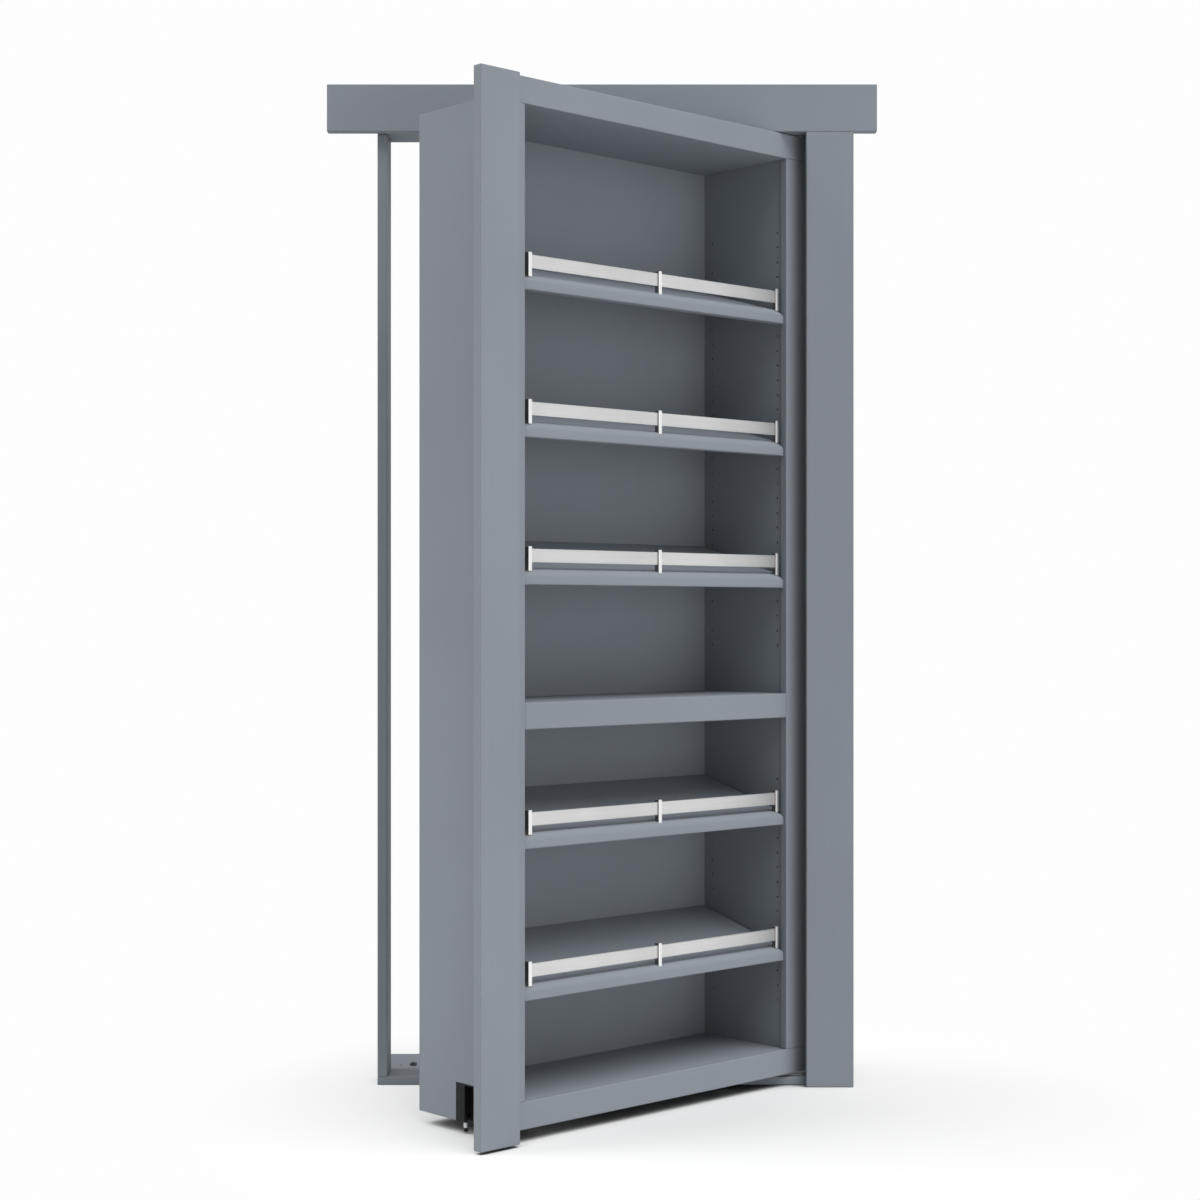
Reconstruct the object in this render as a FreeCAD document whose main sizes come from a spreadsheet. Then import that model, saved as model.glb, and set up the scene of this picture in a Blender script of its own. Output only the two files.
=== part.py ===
# Shoe rack door: a shelf cabinet that swings on two pivots inside a cased door frame.
# Millimetres. X runs across the doorway, Y from the room that is seen into the room behind, Z up.
# The origin is the middle of the threshold's underside, on the floor.
import FreeCAD
import Part
import Sketcher
import os
import re

doc = FreeCAD.newDocument("shoe_rack_door")
sheet = doc.addObject("Spreadsheet::Sheet", "sizes")

# Driving sizes: name, value, what it measures
SIZES = (
    ("frame_height", 2120, "floor to the top of the header casing"),
    ("frame_opening_width", 912, "between the two jambs"),
    ("header_casing_length", 1163, "end to end"),
    ("header_casing_height", 100, "face of the header casing"),
    ("casing_width", 100, "face of the hinge casing"),
    ("casing_thickness", 22, "both casings"),
    ("casing_cover", 24, "hinge casing reaches this far over the opening"),
    ("jamb_thickness", 21, "jamb boards"),
    ("jamb_depth", 85, "front to back of the jambs"),
    ("threshold_thickness", 17, "floor board of the frame"),
    ("threshold_depth", 244, "front to back of the threshold"),
    ("seat_setback", 2, "threshold and latch jamb behind the back of the casings"),
    ("rest_angle", 42.8, "how far the door stands open, in degrees"),
    ("pivot_to_jamb", 72, "pivot axis to the hinge jamb"),
    ("pivot_setback", 40, "pivot axis behind the face of the door"),
    ("pivot_inset", 27, "pivot axis past the hinge edge of the shelf opening"),
    ("casing_gap", 1, "face of the closed door behind the back of the casings"),
    ("opening_width", 732, "shelf opening between the stiles"),
    ("left_stile_width", 46, "stile on the latch side"),
    ("right_stile_width", 83, "stile on the hinge side"),
    ("top_rail_height", 52, "top rail of the face frame"),
    ("bottom_rail_height", 53, "bottom rail of the face frame"),
    ("face_thickness", 18, "face frame"),
    ("board_thickness", 21, "cabinet boards"),
    ("back_thickness", 18, "back panel"),
    ("top_thickness", 16, "top board of the cabinet"),
    ("cabinet_depth", 265, "face of the door to the back of the back panel"),
    ("door_floor_gap", 7, "threshold to the bottom of the door"),
    ("header_gap", 2, "top of the door to the header jamb"),
    ("box_drop", 36, "cabinet box below the top of the top rail"),
    ("side_lip", 4, "inner sides stand back behind the stiles"),
    ("trim_width", 96, "trim board on the latch edge"),
    ("trim_thickness", 22, "trim board on the latch edge"),
    ("trim_lap", 15, "trim board lies this far over the stile"),
    ("trim_floor_gap", 5, "floor to the trim board"),
    ("trim_header_gap", 3, "trim board to the header casing"),
    ("edge_ease", 1.2, "eased edges of the boards"),
    ("upper_shelf_drop", 320, "nose top of the highest shoe shelf below the cabinet top"),
    ("upper_shelf_pitch", 280, "between the shoe shelves above the middle shelf"),
    ("middle_shelf_height", 832, "top of the fixed shelf"),
    ("lower_shelf_height", 584, "nose top of the first shoe shelf below the middle shelf"),
    ("lower_shelf_pitch", 288, "between the shoe shelves below the middle shelf"),
    ("middle_rail_height", 51, "rail in front of the fixed shelf"),
    ("shelf_slope", 16, "shoe shelves rise towards the back, in degrees"),
    ("shelf_thickness", 18, "sloping panel of a shoe shelf"),
    ("shelf_setback", 3, "shelf nose behind the face of the door"),
    ("shelf_side_gap", 1, "shelf end to the stile"),
    ("shelf_back_gap", 2, "shelf to the back panel"),
    ("nose_height", 30, "shelf nose"),
    ("nose_depth", 22, "shelf nose, front to back"),
    ("nose_radius", 12, "rounded top edge of the shelf nose"),
    ("post_height", 43, "fence post"),
    ("post_width", 8, "fence post, seen from the front"),
    ("post_depth", 12, "fence post, front to back"),
    ("post_seat", 4, "fence post let into the shelf nose"),
    ("post_setback", 5, "fence post behind the front of the shelf nose"),
    ("post_inset", 20, "middle of an end post from the stile"),
    ("fence_height", 26, "fence rail"),
    ("fence_thickness", 4, "fence rail"),
    ("fence_lift", 12.5, "fence rail above the shelf nose"),
    ("fence_setback", 2, "fence rail behind the front of the posts"),
    ("metal_ease", 0.8, "eased edges of the fence"),
    ("hole_pitch", 31.4, "rows of adjusting holes"),
    ("hole_radius", 2.5, "adjusting holes"),
    ("hole_depth", 10, "holes in the inner sides"),
    ("row_front", 12, "front row of holes from the front of the inner side"),
    ("row_back", 23, "rear row of holes from the back panel"),
    ("upper_row_rise", 166.5, "upper rows start above the nose of the highest shoe shelf"),
    ("lower_row_rise", 65, "lower rows start above the nose of the first lower shoe shelf"),
    ("row_foot", 98, "rows end at least this far above the flat shelf or deck below"),
    ("pin_radius", 2.5, "shelf pins"),
    ("pin_reach", 13, "shelf pins out of the inner side"),
    ("pin_front", 42, "front shelf pins from the front of the inner side"),
    ("pin_back", 47, "rear shelf pins from the back panel"),
    ("pin_play", 0.05, "shelf pin in its hole"),
    ("shelf_seat", 0.03, "shelf pin under the shelf"),
    ("plate_length", 110, "pivot plates, across the door"),
    ("plate_width", 56, "pivot plates, front to back"),
    ("plate_thickness", 4, "pivot plates"),
    ("plate_corner", 8, "cut corners of the pivot plates"),
    ("plate_screw_length", 80, "screw spacing across the door"),
    ("plate_screw_width", 32, "screw spacing front to back"),
    ("pivot_radius", 7, "pivot pins"),
    ("pivot_play", 0.05, "pivot pin in its bush"),
    ("pivot_end_gap", 2, "end of a pivot pin to the cabinet"),
    ("bush_wall", 3, "pivot bushes"),
    ("flange_radius", 14, "flanges of the bushes and the thrust washer"),
    ("flange_thickness", 3, "flanges of the bushes"),
    ("washer_bore", 7.05, "hole of the thrust washer"),
    ("washer_thickness", 2.8, "thrust washer on the lower pivot plate"),
    ("thrust_gap", 0.2, "thrust washer to the flange of the lower bush"),
    ("press_play", 0.02, "pins in the plates and bushes in the blocks"),
    ("plate_play", 0.1, "upper pivot plate in its recess"),
    ("block_inward", 60, "pivot blocks towards the middle of the door"),
    ("block_depth", 72, "pivot blocks, front to back"),
    ("top_block_height", 27, "upper pivot block"),
    ("screw_radius", 2, "shanks of the plate screws"),
    ("screw_head_radius", 4, "heads of the plate screws"),
    ("screw_head_height", 2, "heads of the plate screws"),
    ("screw_length", 14, "plate screws, head and shank"),
    ("screw_play", 0.1, "plate screws in their holes"),
    ("latch_front", 95, "latch housing behind the face of the door"),
    ("latch_width", 56, "latch housing, front to back"),
    ("latch_height", 74, "latch housing"),
    ("latch_wall", 3, "walls of the latch housing"),
    ("plunger_inset", 10, "plunger axis inside the outer side"),
    ("plunger_setback", 133, "plunger axis behind the face of the door"),
    ("guide_front", 8, "open pocket of the latch housing ends in front of the plunger axis"),
    ("nut_room", 8, "room for the nut on each side of the plunger axis"),
    ("guide_lift", 14, "room for the nut, up from the bottom of the housing"),
    ("guide_floor", 8, "guide of the plunger rod below the spring chamber"),
    ("chamber_height", 46, "spring chamber"),
    ("chamber_radius", 6, "spring chamber"),
    ("rod_radius", 3, "plunger rod"),
    ("rod_play", 0.05, "plunger rod in its guide"),
    ("rod_top_gap", 16, "plunger rod below the top of the chamber"),
    ("collar_radius", 5.4, "collar that the spring pushes"),
    ("collar_thickness", 3, "collar that the spring pushes"),
    ("collar_seat", 0.3, "collar above the floor of the chamber"),
    ("spring_inside", 3.7, "inner radius of the spring"),
    ("spring_outside", 5.3, "outer radius of the spring"),
    ("spring_seat", 0.1, "spring to the collar and to the top of the chamber"),
    ("tip_floor_gap", 3.5, "plunger tip above the floor"),
    ("tip_height", 7, "plunger tip"),
    ("tip_radius", 4.8, "plunger tip"),
    ("tip_bevel", 1.8, "bevelled end of the plunger tip"),
    ("nut_height", 11, "plunger nut"),
    ("nut_across_flats", 10, "plunger nut"),
    ("strike_width", 15, "strike slot in the threshold"),
    ("strike_length", 44, "strike slot in the threshold"),
    ("wall_hole_radius", 3.5, "fixing holes of the frame"),
    ("wall_hole_rise", 1500, "fixing holes of a jamb, up and down"),
    ("wall_hole_reach", 45, "fixing holes of a jamb, front to back"),
    ("floor_hole_span", 876, "fixing holes of the threshold, across"),
)
for row, (alias, value, note) in enumerate(SIZES, start=1):
    sheet.set(f"A{row}", alias)
    sheet.set(f"B{row}", str(value))
    sheet.set(f"C{row}", note)
    sheet.setAlias(f"B{row}", alias)
doc.recompute()
names = {alias for alias, value, note in SIZES}
Z_AXIS = FreeCAD.Vector(0, 0, 1)

# Places in the frame, as formulas of the sizes
half_opening = "(frame_opening_width / 2)"
wall_y = "(0 - threshold_depth / 2 - seat_setback)"
header_z = "(frame_height - header_casing_height)"
frame_half = f"({half_opening} + jamb_thickness)"
pivot_x = f"({half_opening} - pivot_to_jamb)"
pivot_y = f"({wall_y} + casing_gap + pivot_setback)"

# Places on the door, from the pivot axis and the floor
open_right = "(0 - pivot_inset)"
open_left = "(0 - pivot_inset - opening_width)"
face_y = "(0 - pivot_setback)"
inner_y = f"({face_y} + face_thickness)"
back_y = f"({face_y} + cabinet_depth)"
rear_y = f"({back_y} - back_thickness)"
left_x = f"({open_left} - left_stile_width)"
right_x = f"({open_right} + right_stile_width)"
left_inside = f"({left_x} + board_thickness)"
right_inside = f"({open_right} + side_lip)"
right_outside = f"({right_inside} + 2 * board_thickness)"
door_bottom = "(threshold_thickness + door_floor_gap)"
door_top = f"({header_z} - header_gap)"
box_top = f"({door_top} - box_drop)"
deck_z = f"({door_bottom} + bottom_rail_height)"
deck_under = f"({deck_z} - board_thickness)"
ceiling_z = f"({box_top} - top_thickness)"
plunger_x = f"({left_x} + plunger_inset)"
plunger_y = f"({face_y} + plunger_setback)"
guide_z = f"({door_bottom} + guide_lift)"
chamber_z = f"({guide_z} + guide_floor)"
chamber_top = f"({chamber_z} + chamber_height)"


def formula(text):
    # every name of a size becomes a reference to its cell
    def cell(word):
        return "sizes." + word.group() if word.group() in names else word.group()
    return re.sub(r"[a-z_]+[a-z_0-9]*", cell, str(text))


def number(text):
    # the value of a formula, for what takes no expression
    return float(sheet.evalExpression(formula(text)))


def bind(thing, **formulas):
    for prop, text in formulas.items():
        thing.setExpression(prop, formula(text))


def stand(thing, x, y, z):
    # a piece of the fixed frame
    for axis, text in zip("xyz", (x, y, z)):
        thing.setExpression(f"Placement.Base.{axis}", formula(text))
    return thing


def hang(thing, x, y, z):
    # a piece of the door, turned with it about the pivot axis
    thing.Placement = FreeCAD.Placement(FreeCAD.Vector(), FreeCAD.Rotation(Z_AXIS, number("rest_angle")))
    turned_x = f"{pivot_x} + ({x}) * cos(rest_angle) - ({y}) * sin(rest_angle)"
    turned_y = f"{pivot_y} + ({x}) * sin(rest_angle) + ({y}) * cos(rest_angle)"
    thing.setExpression("Placement.Rotation.Angle", formula("rest_angle"))
    return stand(thing, turned_x, turned_y, z)


kept = []


def keep(thing, label):
    thing.Label = label
    kept.append(thing)
    return thing


def box(place, name, x, y, z):
    # x, y and z are pairs of formulas, low and high
    block = doc.addObject("Part::Box", name)
    lengths = [f"({high}) - ({low})" for low, high in (x, y, z)]
    bind(block, Length=lengths[0], Width=lengths[1], Height=lengths[2])
    return place(block, x[0], y[0], z[0])


def eased(block, name, ease="edge_ease"):
    # a box with all its edges broken
    soft = doc.addObject("Part::Chamfer", name)
    soft.Base = block
    width = number(ease)
    soft.Edges = [(edge, width, width) for edge in range(1, 13)]
    return soft


def board(place, name, x, y, z, ease="edge_ease"):
    return keep(eased(box(place, name + "_blank", x, y, z), name, ease), name)


def cylinder(place, name, x, y, low, high, radius):
    rod = doc.addObject("Part::Cylinder", name)
    bind(rod, Radius=radius, Height=f"({high}) - ({low})")
    return place(rod, x, y, low)


def hexagonal(place, name, x, y, low, high, radius):
    rod = doc.addObject("Part::Prism", name)
    rod.Polygon = 6
    bind(rod, Circumradius=radius, Height=f"({high}) - ({low})")
    return place(rod, x, y, low)


def cross_cylinder(name, low, high, y, z, radius):
    # a bore along X in the frame
    rod = doc.addObject("Part::Cylinder", name)
    rod.Placement = FreeCAD.Placement(FreeCAD.Vector(), FreeCAD.Rotation(FreeCAD.Vector(0, 1, 0), 90))
    bind(rod, Radius=radius, Height=f"({high}) - ({low})")
    return stand(rod, low, y, z)


def joined(name, pieces):
    group = doc.addObject("Part::Compound", name)
    group.Links = pieces
    return group


def cut(name, base, tools):
    result = doc.addObject("Part::Cut", name)
    result.Base = base
    result.Tool = joined(name + "_tools", tools)
    return result


def new_body(label):
    return keep(doc.addObject("PartDesign::Body", label), label)


def new_sketch(body, role, name):
    sketch = body.newObject("Sketcher::SketchObject", name)
    plane = [part for part in body.Origin.OriginFeatures if part.Role == role][0]
    sketch.AttachmentSupport = (plane, "")
    sketch.MapMode = "FlatFace"
    return sketch


def tie(sketch, item, point, x, y):
    # the point of a sketch item gets its place from the sheet
    for axis, text in (("X", x), ("Y", y)):
        rule = Sketcher.Constraint("Distance" + axis, -1, 1, item, point, number(text))
        index = sketch.addConstraint(rule)
        sketch.renameConstraint(index, f"{axis.lower()}_{item}")
        sketch.setExpression(f"Constraints.{axis.lower()}_{item}", formula(text))


def draw_outline(sketch, corners):
    # a closed outline of straight lines through the corners
    points = [FreeCAD.Vector(number(x), number(y), 0) for x, y in corners]
    first = sketch.GeometryCount
    count = len(points)
    lines = [Part.LineSegment(points[i], points[(i + 1) % count]) for i in range(count)]
    sketch.addGeometry(lines)
    sketch.addConstraint([Sketcher.Constraint("Coincident", first + i, 2, first + (i + 1) % count, 1)
                          for i in range(count)])
    for i, (x, y) in enumerate(corners):
        tie(sketch, first + i, 1, x, y)


def polygon(x, y, radius, sides=6):
    turns = [i * 360 / sides for i in range(sides)]
    return [(f"{x} + ({radius}) * cos({turn})", f"{y} + ({radius}) * sin({turn})") for turn in turns]


def draw_circle(sketch, x, y, radius):
    middle = FreeCAD.Vector(number(x), number(y), 0)
    item = sketch.addGeometry(Part.Circle(middle, Z_AXIS, number(radius)))
    tie(sketch, item, 3, x, y)
    index = sketch.addConstraint(Sketcher.Constraint("Radius", item, number(radius)))
    sketch.renameConstraint(index, f"radius_{item}")
    sketch.setExpression(f"Constraints.radius_{item}", formula(radius))


def rectangle(low_x, high_x, low_y, high_y):
    return [(low_x, low_y), (high_x, low_y), (high_x, high_y), (low_x, high_y)]


def feature(body, kind, sketch, name, length, backwards=False):
    step = body.newObject("PartDesign::" + kind, name)
    step.Profile = sketch
    step.Reversed = backwards
    bind(step, Length=length)
    return step


def turned(body, name, corners, kind="Revolution"):
    # a profile of radius and height, turned about the body's own upright axis
    sketch = new_sketch(body, "XZ_Plane", name + "_profile")
    draw_outline(sketch, corners)
    step = body.newObject("PartDesign::" + kind, name + "_turn")
    step.Profile = sketch
    step.ReferenceAxis = (sketch, ["V_Axis"])
    step.Angle = 360
    return step


# Fixed frame: casings and jambs
casing_y = (f"{wall_y} - casing_thickness", wall_y)
jamb_y = (wall_y, f"{wall_y} + jamb_depth")
latch_jamb_y = (f"{wall_y} + seat_setback", f"{wall_y} + jamb_depth")
jamb_z = ("threshold_thickness", header_z)
hinge_edge = f"({half_opening} - casing_cover)"
frame_x = (f"0 - {frame_half}", frame_half)
board(stand, "header_casing", ("0 - header_casing_length / 2", "header_casing_length / 2"), casing_y,
      (header_z, "frame_height"))
board(stand, "hinge_casing", (hinge_edge, f"{hinge_edge} + casing_width"), casing_y, ("0", header_z))


def jamb(label, x, y):
    # a jamb board with the four holes that fix it to the wall
    blank = eased(box(stand, label + "_blank", x, y, jamb_z), label + "_eased")
    middle_y = f"({wall_y} + jamb_depth / 2)"
    middle_z = f"((threshold_thickness + {header_z}) / 2)"
    holes = []
    for side in (-1, 1):
        for level in (-1, 1):
            hole = cross_cylinder(f"{label}_hole_{len(holes)}", x[0], x[1],
                                  f"{middle_y} + {side} * wall_hole_reach / 2",
                                  f"{middle_z} + {level} * wall_hole_rise / 2", "wall_hole_radius")
            holes.append(hole)
    return keep(cut(label, blank, holes), label)


jamb("latch_jamb", (f"0 - {frame_half}", f"0 - {half_opening}"), latch_jamb_y)
jamb("hinge_jamb", (half_opening, frame_half), jamb_y)

# The plate screws, from the pivot axis, and their pilot holes in the wood
screw_spots = [(f"{i} * plate_screw_length / 2", f"{j} * plate_screw_width / 2")
               for i in (-1, 1) for j in (-1, 1)]
shank_hole = "(screw_radius + screw_play)"
plate_top = "(threshold_thickness + plate_thickness)"
plate_x = (f"{pivot_x} - plate_length / 2 - plate_play", f"{pivot_x} + plate_length / 2 + plate_play")
plate_y = (f"{pivot_y} - plate_width / 2 - plate_play", f"{pivot_y} + plate_width / 2 + plate_play")
screw_end = f"({plate_top} - screw_length)"
screw_tip = f"({header_z} + screw_length)"


def pilot_holes(name, low, high):
    return [hexagonal(stand, f"{name}_{i}", f"{pivot_x} + {x}", f"{pivot_y} + {y}", low, high, shank_hole)
            for i, (x, y) in enumerate(screw_spots)]


def header_jamb():
    # top board of the frame, with a recess for the upper pivot plate and pilot holes for its screws
    label = "header_jamb"
    blank = box(stand, label + "_blank", frame_x, jamb_y, (header_z, f"{header_z} + jamb_thickness"))
    recess = box(stand, label + "_recess", plate_x, plate_y, (header_z, f"{header_z} + plate_thickness"))
    holes = pilot_holes("header_pilot", f"{header_z} + plate_thickness", screw_tip)
    keep(cut(label, eased(blank, label + "_eased"), [recess] + holes), label)


def threshold():
    # floor board with the strike slot, the floor fixings and the pilot holes of the lower pivot plate
    label = "threshold"
    through = ("0", "threshold_thickness")
    blank = box(stand, label + "_blank", frame_x, ("0 - threshold_depth / 2", "threshold_depth / 2"), through)
    strike_x = f"({pivot_x} + {plunger_x})"
    strike_y = f"({pivot_y} + {plunger_y})"
    half_run = "((strike_length - strike_width) / 2)"
    slot = doc.addObject("Part::MultiFuse", "strike_slot")
    slot.Shapes = [
        box(stand, "strike_middle", (f"{strike_x} - strike_width / 2", f"{strike_x} + strike_width / 2"),
            (f"{strike_y} - {half_run}", f"{strike_y} + {half_run}"), through),
        cylinder(stand, "strike_front", strike_x, f"{strike_y} - {half_run}", *through, "strike_width / 2"),
        cylinder(stand, "strike_rear", strike_x, f"{strike_y} + {half_run}", *through, "strike_width / 2")]
    holes = [cylinder(stand, f"floor_hole_{i}", f"{side} * floor_hole_span / 2", "0", *through,
                      "wall_hole_radius") for i, side in enumerate((-1, 1))]
    pilots = pilot_holes("threshold_pilot", screw_end, "threshold_thickness")
    keep(cut(label, eased(blank, label + "_eased"), [slot] + holes + pilots), label)


header_jamb()
threshold()

# Face frame and box of the cabinet door
face = (face_y, inner_y)
inside_y = (inner_y, rear_y)
full_width = (left_x, right_x)
opening_z = (deck_z, ceiling_z)
box_x = (left_inside, right_outside)
board(hang, "top_rail", full_width, face, (f"{door_top} - top_rail_height", door_top))
board(hang, "bottom_rail", full_width, face, (door_bottom, deck_z))
board(hang, "left_stile", (left_x, open_left), face, (deck_z, f"{door_top} - top_rail_height"))
board(hang, "right_stile", (open_right, right_x), face, (deck_z, f"{door_top} - top_rail_height"))
board(hang, "middle_rail", (open_left, open_right), face,
      ("middle_shelf_height - middle_rail_height", "middle_shelf_height"))
board(hang, "middle_shelf", (f"{open_left} - side_lip", f"{open_right} + side_lip"), inside_y,
      ("middle_shelf_height - board_thickness", "middle_shelf_height"))
board(hang, "cabinet_top", box_x, inside_y, (ceiling_z, box_top))
board(hang, "cabinet_deck", box_x, inside_y, (deck_under, deck_z))
board(hang, "back_panel", box_x, (rear_y, back_y), (door_bottom, box_top))
board(hang, "right_outer_side", (f"{right_inside} + board_thickness", right_outside), inside_y, opening_z)
trim_right = f"({left_x} + trim_lap)"
board(hang, "edge_trim", (f"{trim_right} - trim_width", trim_right), (f"{face_y} - trim_thickness", face_y),
      ("trim_floor_gap", f"{header_z} - trim_header_gap"))

# Shoe shelves, from the top: number and height of the nose
upper_nose = f"({ceiling_z} - upper_shelf_drop)"
shelves = [(1, upper_nose), (2, f"({upper_nose} - upper_shelf_pitch)"),
           (3, f"({upper_nose} - 2 * upper_shelf_pitch)"), (4, "lower_shelf_height"),
           (5, "(lower_shelf_height - lower_shelf_pitch)")]
shelf_groups = [("upper", upper_nose, "upper_shelf_pitch", "3"),
                ("lower", "lower_shelf_height", "lower_shelf_pitch", "2")]
panel_drop = "(shelf_thickness / cos(shelf_slope))"
shelf_reach = "(cabinet_depth - back_thickness - shelf_setback - shelf_back_gap)"
pin_rows = ["(face_thickness + pin_front)", "(cabinet_depth - back_thickness - pin_back)"]


def pin_height(distance):
    # axis of a shelf pin from the nose top, at a distance behind the face of the door
    run = f"({distance} - shelf_setback - nose_depth)"
    return f"({run} * tan(shelf_slope) - {panel_drop} - (pin_radius + shelf_seat) / cos(shelf_slope))"


def row_down(body, name, kind, places, radius, length, backwards, pitch, count, offset="0"):
    # hexagons at the given places, sunk or raised, then repeated downwards
    first = new_sketch(body, "YZ_Plane", name + "_first")
    first.setExpression("AttachmentOffset.Base.z", formula(offset))
    for y, z in places:
        draw_outline(first, polygon(y, z, radius))
    step = feature(body, kind, first, name + "_step", length, backwards)
    step.Refine = False
    doc.recompute()
    rows = body.newObject("PartDesign::LinearPattern", name)
    rows.Originals = [step]
    rows.Direction = (first, ["V_Axis"])
    rows.Reversed = True
    rows.Mode = "Spacing"
    rows.Refine = False
    bind(rows, Offset=pitch, Occurrences=count)
    body.Tip = rows


def inner_side(label, face_x, thickness, outward_is_right):
    # cabinet side with the holes of the shelf pins and the rows of adjusting holes
    body = new_body(label)
    hang(body, face_x, inner_y, deck_z)
    depth = f"({rear_y} - {inner_y})"
    panel = new_sketch(body, "YZ_Plane", label + "_outline")
    draw_outline(panel, rectangle("0", depth, "0", f"{ceiling_z} - {deck_z}"))
    feature(body, "Pad", panel, label + "_panel", thickness, not outward_is_right)
    for group, nose, pitch, count in shelf_groups:
        seats = [(f"{y} - face_thickness", f"{nose} + {pin_height(y)} - {deck_z}") for y in pin_rows]
        row_down(body, f"{label}_{group}_seats", "Pocket", seats, "pin_radius + pin_play", "hole_depth",
                 outward_is_right, pitch, count)
    groups = (("upper", f"({upper_nose} + upper_row_rise)", "(middle_shelf_height + row_foot)"),
              ("lower", "(lower_shelf_height + lower_row_rise)", f"({deck_z} + row_foot)"))
    for group, start, foot in groups:
        holes = [(y, f"{start} - {deck_z}") for y in ("row_front", f"({depth} - row_back)")]
        row_down(body, f"{label}_{group}_rows", "Pocket", holes, "hole_radius", "hole_depth",
                 outward_is_right, "hole_pitch", f"floor(({start} - {foot}) / hole_pitch) + 1")


inner_side("left_inner_side", f"{open_left} - side_lip", "left_stile_width - board_thickness - side_lip",
           False)
inner_side("right_inner_side", right_inside, "board_thickness", True)


def outer_side():
    # latch side of the cabinet, notched at its foot for the latch housing
    label = "left_outer_side"
    body = new_body(label)
    hang(body, left_x, inner_y, door_bottom)
    depth = f"({back_y} - {inner_y})"
    height = f"({box_top} - {door_bottom})"
    notch = "(latch_front - face_thickness)"
    notch_end = f"({notch} + latch_width)"
    sketch = new_sketch(body, "YZ_Plane", label + "_outline")
    draw_outline(sketch, [("0", "0"), (notch, "0"), (notch, "latch_height"), (notch_end, "latch_height"),
                          (notch_end, "0"), (depth, "0"), (depth, height), ("0", height)])
    feature(body, "Pad", sketch, label + "_panel", "board_thickness")


outer_side()

# Fence posts: middles across the door, front and back
post_middles = [f"({open_left} + post_inset)", f"(({open_left} + {open_right}) / 2)",
                f"({open_right} - post_inset)"]
post_front = f"({face_y} + shelf_setback + post_setback)"
post_y = (post_front, f"{post_front} + post_depth")
fence_front = f"({post_front} + fence_setback)"
fence_y = (fence_front, f"{fence_front} + fence_thickness")


def shoe_shelf(label, nose):
    # level nose, rounded on top, then a panel that rises towards the back
    body = new_body(label)
    start = f"({open_left} + shelf_side_gap)"
    hang(body, start, f"{face_y} + shelf_setback", nose)
    rise = f"(({shelf_reach} - nose_depth) * tan(shelf_slope))"
    sketch = new_sketch(body, "YZ_Plane", label + "_profile")
    draw_outline(sketch, [("0", "0 - nose_height + edge_ease"), ("0", "0"), ("nose_depth", "0"),
                          (shelf_reach, rise), (shelf_reach, f"{rise} - {panel_drop}"),
                          ("nose_depth", f"0 - {panel_drop}"), ("nose_depth", "0 - nose_height"),
                          ("edge_ease", "0 - nose_height")])
    pad = feature(body, "Pad", sketch, label + "_board", "opening_width - 2 * shelf_side_gap")
    doc.recompute()
    front_top = [f"Edge{i + 1}" for i, edge in enumerate(pad.Shape.Edges)
                 if max(abs(vertex.Y) + abs(vertex.Z) for vertex in edge.Vertexes) < 0.001]
    rounding = body.newObject("PartDesign::Fillet", label + "_rounding")
    rounding.Base = (pad, front_top)
    bind(rounding, Radius="nose_radius")
    seats = new_sketch(body, "XY_Plane", label + "_post_seats")
    for middle in post_middles:
        half = "(post_width / 2 + press_play)"
        draw_outline(seats, rectangle(f"{middle} - {start} - {half}", f"{middle} - {start} + {half}",
                                      "post_setback - press_play", "post_setback + post_depth + press_play"))
    feature(body, "Pocket", seats, label + "_post_holes", "post_seat")


def fence(number_of_shelf, nose):
    # three posts let into the shelf nose and the two flat rails between them
    post_z = (f"{nose} - post_seat", f"{nose} + post_height")
    rail_z = (f"{nose} + fence_lift", f"{nose} + fence_lift + fence_height")
    posts = []
    rails = []
    for i, middle in enumerate(post_middles):
        name = f"post_{number_of_shelf}_{i}"
        span = (f"{middle} - post_width / 2", f"{middle} + post_width / 2")
        posts.append(eased(box(hang, name + "_blank", span, post_y, post_z), name, "metal_ease"))
    for i in (0, 1):
        name = f"rail_{number_of_shelf}_{i}"
        span = (f"{post_middles[i]} + post_width / 2", f"{post_middles[i + 1]} - post_width / 2")
        rails.append(eased(box(hang, name + "_blank", span, fence_y, rail_z), name, "metal_ease"))
    keep(joined(f"fence_posts_{number_of_shelf}", posts), f"fence_posts_{number_of_shelf}")
    keep(joined(f"fence_rails_{number_of_shelf}", rails), f"fence_rails_{number_of_shelf}")


for shelf_number, nose_z in shelves:
    shoe_shelf(f"shoe_shelf_{shelf_number}", nose_z)
    fence(shelf_number, nose_z)


def shelf_pins():
    # four pins under each shoe shelf, pushed into the inner sides
    label = "shelf_pins"
    body = new_body(label)
    hang(body, open_left, face_y, "0")
    body.AllowCompound = True
    ends = (("left", "0 - side_lip - hole_depth"), ("right", "opening_width + side_lip - pin_reach"))
    for side, start in ends:
        for group, nose, pitch, count in shelf_groups:
            places = [(y, f"{nose} + {pin_height(y)}") for y in pin_rows]
            row_down(body, f"{side}_{group}_pins", "Pad", places, "pin_radius", "hole_depth + pin_reach",
                     False, pitch, count, start)


shelf_pins()

# Pivots: plates and pins on the frame, blocks and bushes on the door
block_bottom = f"({plate_top} + washer_thickness + thrust_gap + flange_thickness)"
top_block_top = f"({box_top} + top_block_height)"
bush_radius = "(pivot_radius + pivot_play)"
bush_outside = f"({bush_radius} + bush_wall)"


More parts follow.
